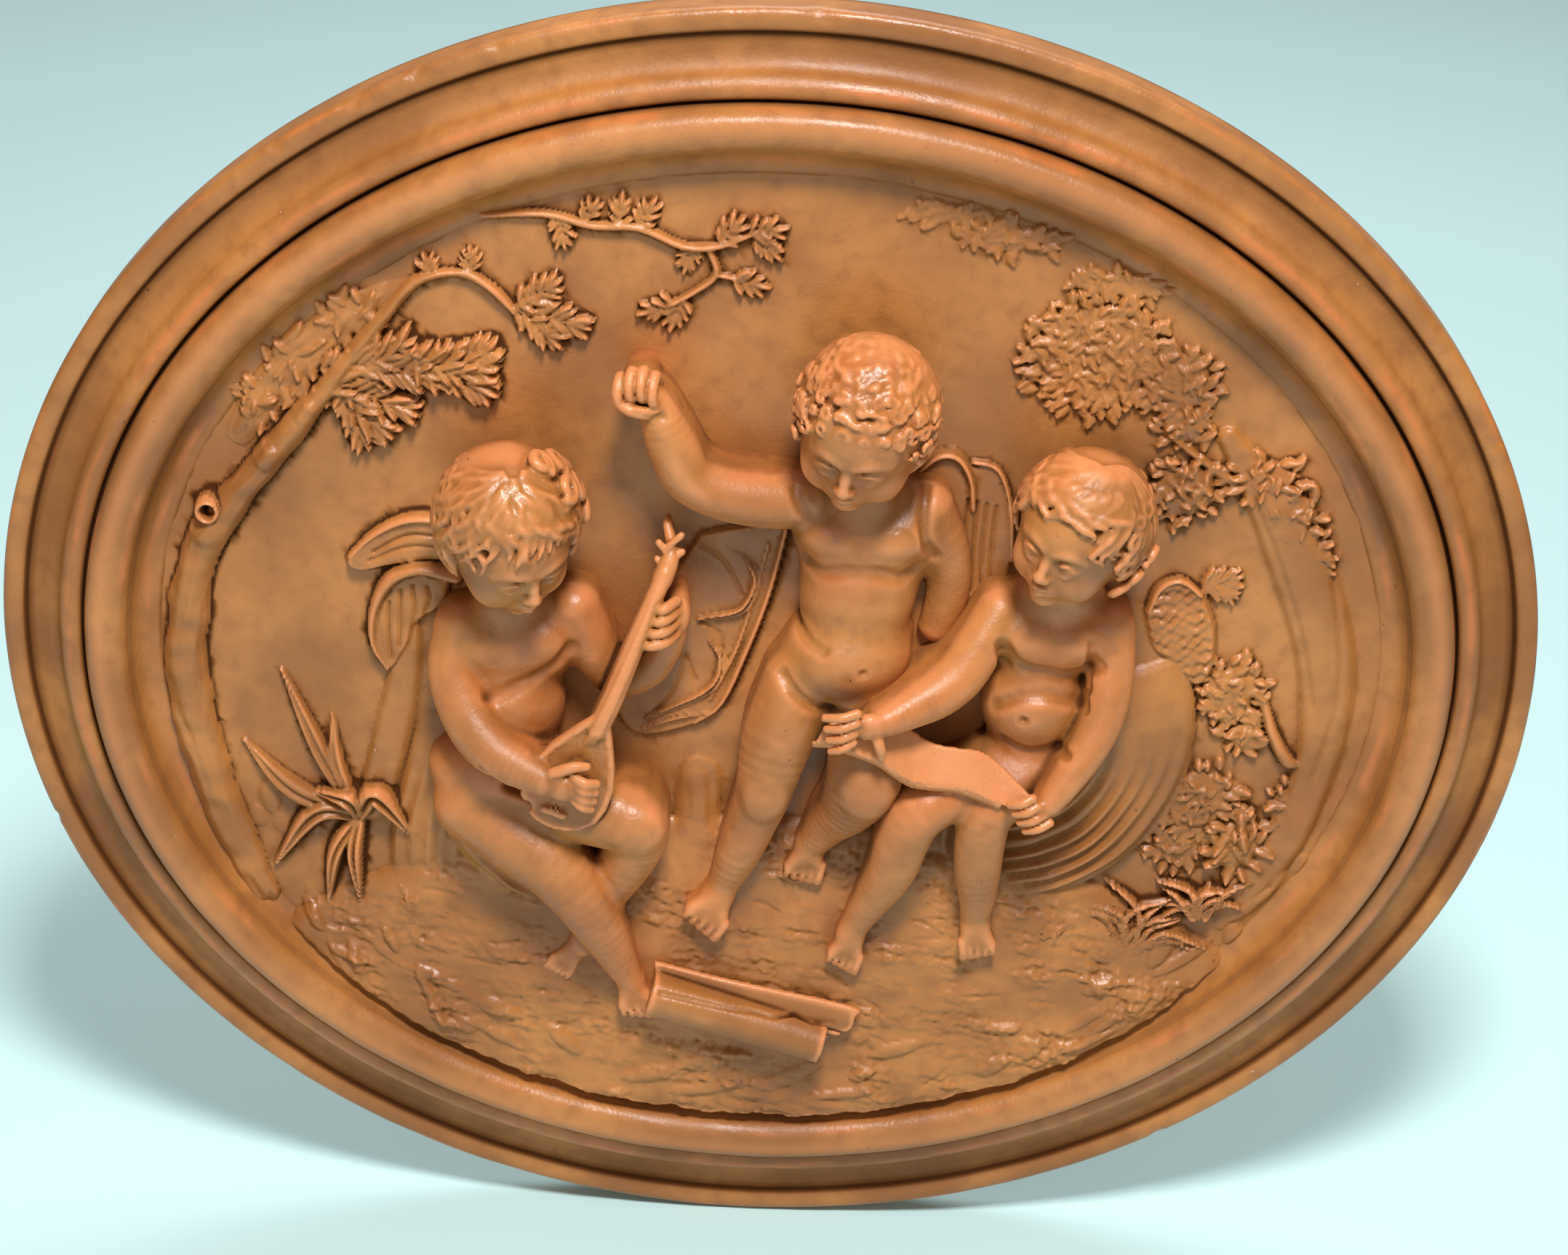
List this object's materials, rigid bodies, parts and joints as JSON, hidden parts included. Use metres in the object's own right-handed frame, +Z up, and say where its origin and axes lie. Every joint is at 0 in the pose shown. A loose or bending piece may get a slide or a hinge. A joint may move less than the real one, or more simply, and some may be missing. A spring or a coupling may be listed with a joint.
{
  "type": "oval relief medallion",
  "caption": "Oval fired-clay wall medallion: a moulded rim cast in one with a sunk field, where children make music under trees in high relief",
  "frame": {"origin": "centre of the flat back, in the plane that lies on the wall", "axes": "+Z up, the long axis of the oval along X, the relief faces -Y and the flat back faces +Y"},
  "size_m": [0.64, 0.0861, 0.552],
  "materials": {
    "fired_clay": "fine red-brown terracotta, unglazed, waxed to a low sheen on the high points, with darker dirt in the hollows"
  },
  "bodies": {
    "root": {"relief_medallion": "fired_clay"}
  },
  "joints": []
}
